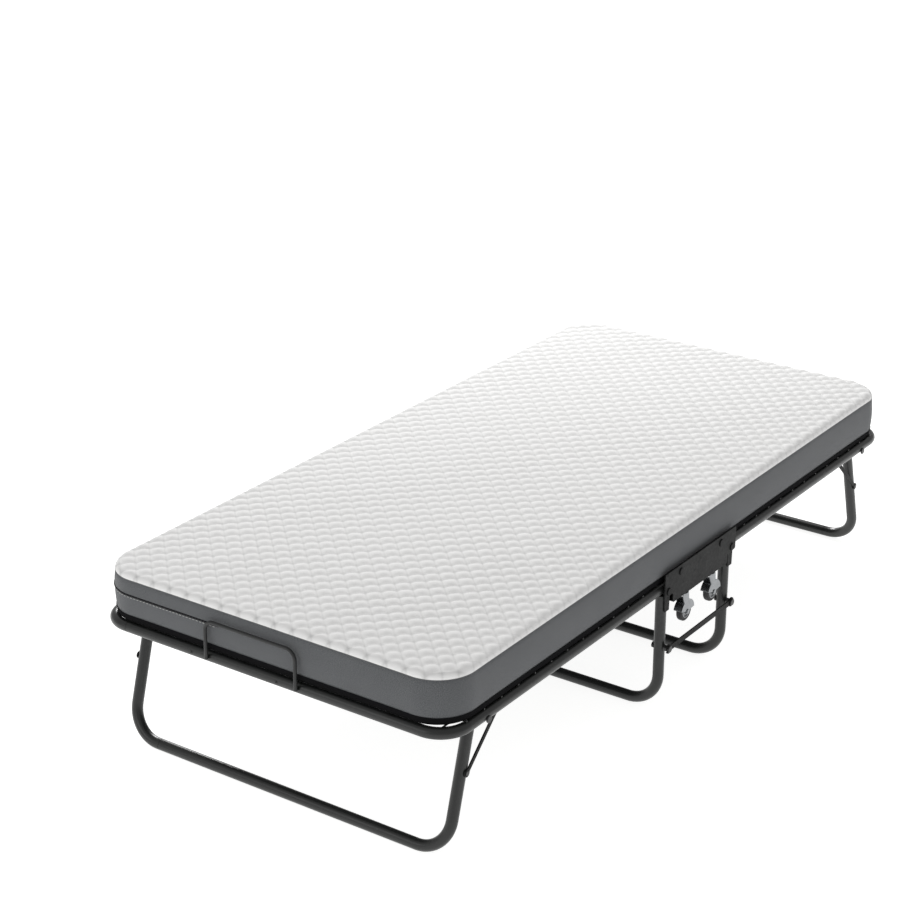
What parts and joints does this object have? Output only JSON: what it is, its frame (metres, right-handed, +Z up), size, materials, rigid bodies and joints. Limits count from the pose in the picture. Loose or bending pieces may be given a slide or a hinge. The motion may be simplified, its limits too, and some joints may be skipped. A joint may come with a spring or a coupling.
{
  "type": "folding rollaway bed",
  "caption": "Folding guest bed: quilted mattress on two hinged wire-mesh decks, fold-out legs, lock bars and a wheeled centre carriage.",
  "frame": {"origin": "on the floor under the middle of the opened bed", "axes": "+X to the head end, +Y to the left side, +Z up"},
  "size_m": [1.927, 0.9496, 0.412],
  "materials": {
    "frame_tube": "satin black powder coat",
    "frame_plate": "satin black powder coat",
    "handle_wire": "satin black powder coat",
    "mesh_wire": "satin black powder coat",
    "fasteners": "satin black",
    "caster_metal": "bright zinc and chrome plate",
    "caster_tyre": "matt rubber",
    "caster_hub": "moulded plastic",
    "mattress_cover": "quilted knit with a woven side band"
  },
  "bodies": {
    "centre_carriage": {"left_side_plate": "frame_plate", "right_side_plate": "frame_plate", "base_bars": "frame_tube", "base_bar_bolts": "fasteners", "deck_pivot_rivets": "fasteners", "leg_pivot_pins": "fasteners", "caster_stems": "caster_metal", "mattress_fold_section": "mattress_cover"},
    "head_deck": {"head_deck_frame": "frame_tube", "head_deck_crossbars": "frame_tube", "head_hinge_lugs": "frame_plate", "head_mesh_long_wires": "mesh_wire", "head_mesh_cross_wires": "mesh_wire", "head_handle": "handle_wire", "head_mattress_half": "mattress_cover", "head_end_leg_bolts": "fasteners", "head_stay_brackets": "frame_plate"},
    "head_end_leg_body": {"head_end_leg": "frame_tube", "head_stay_rivets": "fasteners"},
    "head_centre_leg": {"head_centre_leg_tube": "frame_tube", "head_centre_leg_lugs": "frame_plate", "head_lock_bolts": "fasteners"},
    "head_left_stay_body": {"head_left_stay": "frame_plate"},
    "head_right_stay_body": {"head_right_stay": "frame_plate"},
    "foot_deck": {"foot_deck_frame": "frame_tube", "foot_deck_crossbars": "frame_tube", "foot_hinge_lugs": "frame_plate", "foot_mesh_long_wires": "mesh_wire", "foot_mesh_cross_wires": "mesh_wire", "foot_handle": "handle_wire", "foot_mattress_half": "mattress_cover", "foot_end_leg_bolts": "fasteners", "foot_stay_brackets": "frame_plate"},
    "foot_end_leg_body": {"foot_end_leg": "frame_tube", "foot_stay_rivets": "fasteners"},
    "foot_centre_leg": {"foot_centre_leg_tube": "frame_tube", "foot_centre_leg_lugs": "frame_plate", "foot_lock_bolts": "fasteners"},
    "foot_left_stay_body": {"foot_left_stay": "frame_plate"},
    "foot_right_stay_body": {"foot_right_stay": "frame_plate"},
    "left_lock_bar_body": {"left_lock_bar": "frame_plate"},
    "right_lock_bar_body": {"right_lock_bar": "frame_plate"},
    "caster_head_left_swivel": {"caster_head_left_fork": "caster_metal", "caster_head_left_axle": "caster_metal"},
    "caster_head_left_wheel": {"caster_head_left_tyre": "caster_tyre", "caster_head_left_hub": "caster_hub"},
    "caster_head_right_swivel": {"caster_head_right_fork": "caster_metal", "caster_head_right_axle": "caster_metal"},
    "caster_head_right_wheel": {"caster_head_right_tyre": "caster_tyre", "caster_head_right_hub": "caster_hub"},
    "caster_foot_left_swivel": {"caster_foot_left_fork": "caster_metal", "caster_foot_left_axle": "caster_metal"},
    "caster_foot_left_wheel": {"caster_foot_left_tyre": "caster_tyre", "caster_foot_left_hub": "caster_hub"},
    "caster_foot_right_swivel": {"caster_foot_right_fork": "caster_metal", "caster_foot_right_axle": "caster_metal"},
    "caster_foot_right_wheel": {"caster_foot_right_tyre": "caster_tyre", "caster_foot_right_hub": "caster_hub"}
  },
  "joints": [
    {"name": "head_fold", "type": "hinge", "parent": "centre_carriage", "child": "head_deck", "pos_m": [0.0895, 0, 0.325], "axis": [0, -1, 0], "range_deg": [0, 90], "deforming": ["mattress_fold_section"]},
    {"name": "head_centre_leg_swing", "type": "hinge", "parent": "centre_carriage", "child": "head_centre_leg", "pos_m": [0.141, 0, 0.296], "axis": [0, -1, 0], "range_deg": [0, 180]},
    {"name": "head_leg_fold", "type": "hinge", "parent": "head_deck", "child": "head_end_leg_body", "pos_m": [0.825, 0, 0.295], "axis": [0, 1, 0], "range_deg": [0, 106.2]},
    {"name": "head_left_stay_swing", "type": "hinge", "parent": "head_end_leg_body", "child": "head_left_stay_body", "pos_m": [0.85848, 0.4301, 0.17977], "axis": [0, 1, 0], "range_deg": [-149.31, 0]},
    {"name": "head_right_stay_swing", "type": "hinge", "parent": "head_end_leg_body", "child": "head_right_stay_body", "pos_m": [0.85848, -0.4301, 0.17977], "axis": [0, 1, 0], "range_deg": [-149.31, 0]},
    {"name": "foot_fold", "type": "hinge", "parent": "centre_carriage", "child": "foot_deck", "pos_m": [-0.0895, 0, 0.325], "axis": [0, 1, 0], "range_deg": [0, 90], "deforming": ["mattress_fold_section"]},
    {"name": "foot_centre_leg_swing", "type": "hinge", "parent": "centre_carriage", "child": "foot_centre_leg", "pos_m": [-0.141, 0, 0.296], "axis": [0, 1, 0], "range_deg": [0, 180]},
    {"name": "foot_leg_fold", "type": "hinge", "parent": "foot_deck", "child": "foot_end_leg_body", "pos_m": [-0.825, 0, 0.295], "axis": [0, -1, 0], "range_deg": [0, 106.2]},
    {"name": "foot_left_stay_swing", "type": "hinge", "parent": "foot_end_leg_body", "child": "foot_left_stay_body", "pos_m": [-0.85848, 0.4301, 0.17977], "axis": [0, -1, 0], "range_deg": [-149.31, 0]},
    {"name": "foot_right_stay_swing", "type": "hinge", "parent": "foot_end_leg_body", "child": "foot_right_stay_body", "pos_m": [-0.85848, -0.4301, 0.17977], "axis": [0, -1, 0], "range_deg": [-149.31, 0]},
    {"name": "left_lock_bar_swing", "type": "hinge", "parent": "head_centre_leg", "child": "left_lock_bar_body", "pos_m": [0.141, 0.471, 0.158], "axis": [0, -1, 0], "range_deg": [-180, 0]},
    {"name": "right_lock_bar_swing", "type": "hinge", "parent": "head_centre_leg", "child": "right_lock_bar_body", "pos_m": [0.141, -0.471, 0.158], "axis": [0, -1, 0], "range_deg": [-180, 0]},
    {"name": "caster_head_left_swivel_turn", "type": "hinge", "parent": "centre_carriage", "child": "caster_head_left_swivel", "pos_m": [0.06, 0.452, 0.25], "axis": [0, 0, 1], "continuous": true},
    {"name": "caster_head_left_wheel_roll", "type": "hinge", "parent": "caster_head_left_swivel", "child": "caster_head_left_wheel", "pos_m": [0.072, 0.452, 0.21], "axis": [0, 1, 0], "continuous": true},
    {"name": "caster_head_right_swivel_turn", "type": "hinge", "parent": "centre_carriage", "child": "caster_head_right_swivel", "pos_m": [0.06, -0.452, 0.25], "axis": [0, 0, 1], "continuous": true},
    {"name": "caster_head_right_wheel_roll", "type": "hinge", "parent": "caster_head_right_swivel", "child": "caster_head_right_wheel", "pos_m": [0.072, -0.452, 0.21], "axis": [0, 1, 0], "continuous": true},
    {"name": "caster_foot_left_swivel_turn", "type": "hinge", "parent": "centre_carriage", "child": "caster_foot_left_swivel", "pos_m": [-0.06, 0.452, 0.25], "axis": [0, 0, 1], "continuous": true},
    {"name": "caster_foot_left_wheel_roll", "type": "hinge", "parent": "caster_foot_left_swivel", "child": "caster_foot_left_wheel", "pos_m": [-0.048, 0.452, 0.21], "axis": [0, 1, 0], "continuous": true},
    {"name": "caster_foot_right_swivel_turn", "type": "hinge", "parent": "centre_carriage", "child": "caster_foot_right_swivel", "pos_m": [-0.06, -0.452, 0.25], "axis": [0, 0, 1], "continuous": true},
    {"name": "caster_foot_right_wheel_roll", "type": "hinge", "parent": "caster_foot_right_swivel", "child": "caster_foot_right_wheel", "pos_m": [-0.048, -0.452, 0.21], "axis": [0, 1, 0], "continuous": true}
  ],
  "couplings": [
    {"joint": "head_centre_leg_swing", "follows": "head_fold", "ratio": 2},
    {"joint": "head_left_stay_swing", "follows": "head_leg_fold", "ratio": -1.4059},
    {"joint": "head_right_stay_swing", "follows": "head_leg_fold", "ratio": -1.4059},
    {"joint": "foot_centre_leg_swing", "follows": "foot_fold", "ratio": 2},
    {"joint": "foot_left_stay_swing", "follows": "foot_leg_fold", "ratio": -1.4059},
    {"joint": "foot_right_stay_swing", "follows": "foot_leg_fold", "ratio": -1.4059},
    {"joint": "left_lock_bar_swing", "follows": "head_fold", "ratio": -2},
    {"joint": "right_lock_bar_swing", "follows": "head_fold", "ratio": -2}
  ]
}
